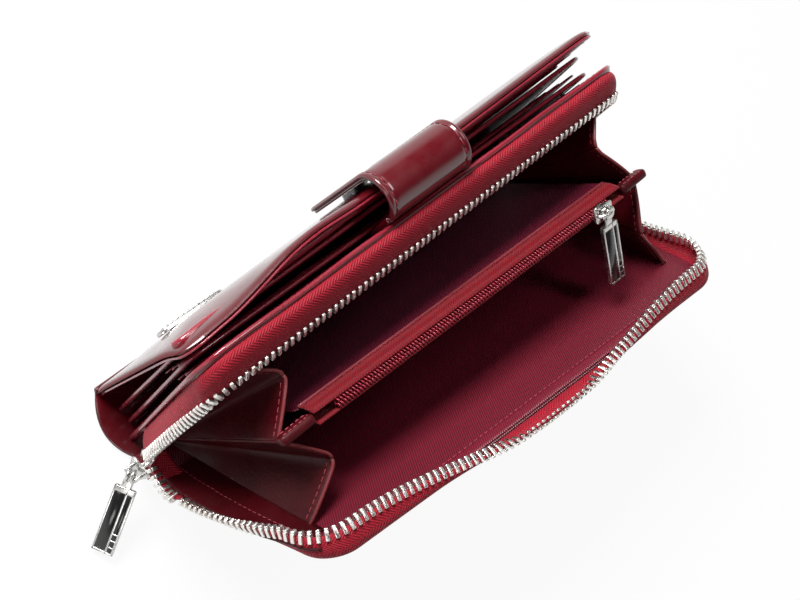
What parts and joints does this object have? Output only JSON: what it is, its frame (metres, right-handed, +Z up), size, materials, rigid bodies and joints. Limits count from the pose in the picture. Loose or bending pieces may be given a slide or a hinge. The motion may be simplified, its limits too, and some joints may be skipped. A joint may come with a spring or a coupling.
{
  "type": "long wallet",
  "caption": "Long zip-around wallet standing on its spine with its zip compartment open, with card pages, a coin pocket, folded end gussets and a snap closing tab.",
  "frame": {"origin": "on the underside of the spine, midway along its length, below the outer face of the middle wall", "axes": "+X along the spine towards the zip slider, -Y out of the front cover, +Z up from the spine to the openings"},
  "size_m": [0.227, 0.1068, 0.1031],
  "materials": {
    "patent_leather": "glossy patent, dark burgundy",
    "gusset_leather": "satin leather",
    "stiffener_board": "matt board of pressed fibre",
    "lining": "satin twill",
    "zip_tape": "woven herringbone tape",
    "nylon_coil": "satin nylon",
    "silver_metal": "polished nickel plate",
    "black_enamel": "gloss enamel"
  },
  "bodies": {
    "core": {"spine": "patent_leather", "middle_wall": "patent_leather", "middle_board": "stiffener_board", "middle_lining": "lining", "compartment_floor": "lining", "zip_tape_front": "zip_tape", "zip_teeth_front": "silver_metal", "zip_tape_bend": "zip_tape", "zip_teeth_bend": "silver_metal", "zip_tail": "zip_tape", "zip_slider": "silver_metal", "tab_root": "patent_leather"},
    "front_cover": {"cover_shell": "patent_leather", "cover_board": "stiffener_board", "cover_lining": "patent_leather", "card_pocket_back": "patent_leather", "card_pocket_middle": "patent_leather", "card_pocket_front": "patent_leather", "badge": "silver_metal", "snap_stud": "silver_metal"},
    "front_page": {"page_front": "patent_leather"},
    "back_page": {"page_back": "patent_leather"},
    "closing_tab": {"tab_outer": "patent_leather", "tab_inner": "patent_leather", "snap_socket": "silver_metal"},
    "back_wall": {"back_shell": "patent_leather", "back_board": "stiffener_board", "back_lining": "lining", "zip_tape_back": "zip_tape", "zip_teeth_back": "silver_metal"},
    "coin_pocket": {"coin_side_front": "lining", "coin_side_back": "lining", "coin_zip_tape": "zip_tape", "coin_zip_coil": "nylon_coil", "coin_end_near": "patent_leather", "coin_end_far": "patent_leather", "ridge_near": "patent_leather", "ridge_far": "patent_leather"},
    "coin_slider": {"coin_slider": "silver_metal"},
    "coin_puller": {"coin_puller_frame": "silver_metal", "coin_puller_enamel": "black_enamel"},
    "zip_puller": {"zip_puller_frame": "silver_metal", "zip_puller_enamel": "black_enamel"},
    "gusset_near_1_panel": {"gusset_near_1": "gusset_leather"},
    "gusset_near_2_panel": {"gusset_near_2": "gusset_leather"},
    "gusset_near_3_panel": {"gusset_near_3": "gusset_leather"},
    "gusset_near_4_panel": {"gusset_near_4": "gusset_leather"},
    "gusset_far_1_panel": {"gusset_far_1": "gusset_leather"},
    "gusset_far_2_panel": {"gusset_far_2": "gusset_leather"},
    "gusset_far_3_panel": {"gusset_far_3": "gusset_leather"},
    "gusset_far_4_panel": {"gusset_far_4": "gusset_leather"}
  },
  "joints": [
    {"name": "back_wall_hinge", "type": "hinge", "parent": "core", "child": "back_wall", "pos_m": [0, 0.006, 0.004], "axis": [1, 0, 0], "range_deg": [0, 26], "deforming": ["zip_tape_bend", "zip_teeth_bend"]},
    {"name": "coin_pocket_hinge", "type": "hinge", "parent": "core", "child": "coin_pocket", "pos_m": [0, 0.006, 0.004], "axis": [1, 0, 0], "range_deg": [0, 11.7]},
    {"name": "gusset_near_1_fold", "type": "hinge", "parent": "core", "child": "gusset_near_1_panel", "pos_m": [0.087, 0.006, 0.004], "axis": [0, -0.0437, 0.999], "range_deg": [0, 30.94]},
    {"name": "gusset_near_2_fold", "type": "hinge", "parent": "coin_pocket", "child": "gusset_near_2_panel", "pos_m": [0.087, 0.006, 0.004], "axis": [-0.0523, 0.3038, 0.9513], "range_deg": [-16.85, 0]},
    {"name": "gusset_near_3_fold", "type": "hinge", "parent": "coin_pocket", "child": "gusset_near_3_panel", "pos_m": [0.087, 0.006, 0.004], "axis": [-0.0523, 0.3038, 0.9513], "range_deg": [0, 18.1]},
    {"name": "gusset_near_4_fold", "type": "hinge", "parent": "back_wall", "child": "gusset_near_4_panel", "pos_m": [0.087, 0.006, 0.004], "axis": [0, 0.6232, 0.7821], "range_deg": [-39.6, 0]},
    {"name": "gusset_far_1_fold", "type": "hinge", "parent": "core", "child": "gusset_far_1_panel", "pos_m": [-0.087, 0.006, 0.004], "axis": [0, -0.0437, 0.999], "range_deg": [-31.29, 0]},
    {"name": "gusset_far_2_fold", "type": "hinge", "parent": "coin_pocket", "child": "gusset_far_2_panel", "pos_m": [-0.087, 0.006, 0.004], "axis": [0.0523, 0.3788, 0.924], "range_deg": [0, 24.15]},
    {"name": "gusset_far_3_fold", "type": "hinge", "parent": "coin_pocket", "child": "gusset_far_3_panel", "pos_m": [-0.087, 0.006, 0.004], "axis": [0.0523, 0.3788, 0.924], "range_deg": [-35.21, 0]},
    {"name": "gusset_far_4_fold", "type": "hinge", "parent": "back_wall", "child": "gusset_far_4_panel", "pos_m": [-0.087, 0.006, 0.004], "axis": [0, 0.7711, 0.6367], "range_deg": [0, 42.05]},
    {"name": "front_cover_hinge", "type": "hinge", "parent": "core", "child": "front_cover", "pos_m": [0, -0.0202, 0.0033], "axis": [1, 0, 0], "range_deg": [0, 90], "deforming": ["tab_outer", "tab_inner", "snap_socket"]},
    {"name": "front_page_hinge", "type": "hinge", "parent": "core", "child": "front_page", "pos_m": [0, -0.0108, 0.0019], "axis": [1, 0, 0], "range_deg": [0, 58]},
    {"name": "back_page_hinge", "type": "hinge", "parent": "core", "child": "back_page", "pos_m": [0, -0.0056, 0.0019], "axis": [1, 0, 0], "range_deg": [0, 30]},
    {"name": "closing_tab_hinge", "type": "hinge", "parent": "core", "child": "closing_tab", "pos_m": [0, -0.0015, 0.0945], "axis": [-1, 0, 0], "range_deg": [0, 95]},
    {"name": "coin_slider_slide", "type": "slide", "parent": "coin_pocket", "child": "coin_slider", "axis": [0.9993, -0.0354, 0.0128], "range_m": [0, 0.086]},
    {"name": "coin_puller_swivel", "type": "hinge", "parent": "coin_slider", "child": "coin_puller", "pos_m": [-0.05795, 0.03833, 0.0834], "axis": [-0.012, -0.6225, -0.7825], "range_deg": [0, 90]},
    {"name": "zip_puller_hinge", "type": "hinge", "parent": "core", "child": "zip_puller", "pos_m": [0.1066, 0.01, 0.01705], "axis": [0, -1, 0], "range_deg": [0, 110]}
  ],
  "couplings": [
    {"joint": "coin_pocket_hinge", "follows": "back_wall_hinge", "ratio": 0.45},
    {"joint": "gusset_near_1_fold", "follows": "back_wall_hinge", "ratio": 1.1899},
    {"joint": "gusset_near_2_fold", "follows": "back_wall_hinge", "ratio": -0.648},
    {"joint": "gusset_near_3_fold", "follows": "back_wall_hinge", "ratio": 0.6962},
    {"joint": "gusset_near_4_fold", "follows": "back_wall_hinge", "ratio": -1.5231},
    {"joint": "gusset_far_1_fold", "follows": "back_wall_hinge", "ratio": -1.2036},
    {"joint": "gusset_far_2_fold", "follows": "back_wall_hinge", "ratio": 0.92899},
    {"joint": "gusset_far_3_fold", "follows": "back_wall_hinge", "ratio": -1.3541},
    {"joint": "gusset_far_4_fold", "follows": "back_wall_hinge", "ratio": 1.6174},
    {"joint": "front_page_hinge", "follows": "front_cover_hinge", "ratio": 0.64444},
    {"joint": "back_page_hinge", "follows": "front_cover_hinge", "ratio": 0.33333},
    {"joint": "coin_puller_swivel", "follows": "back_wall_hinge", "ratio": 3.4615}
  ]
}
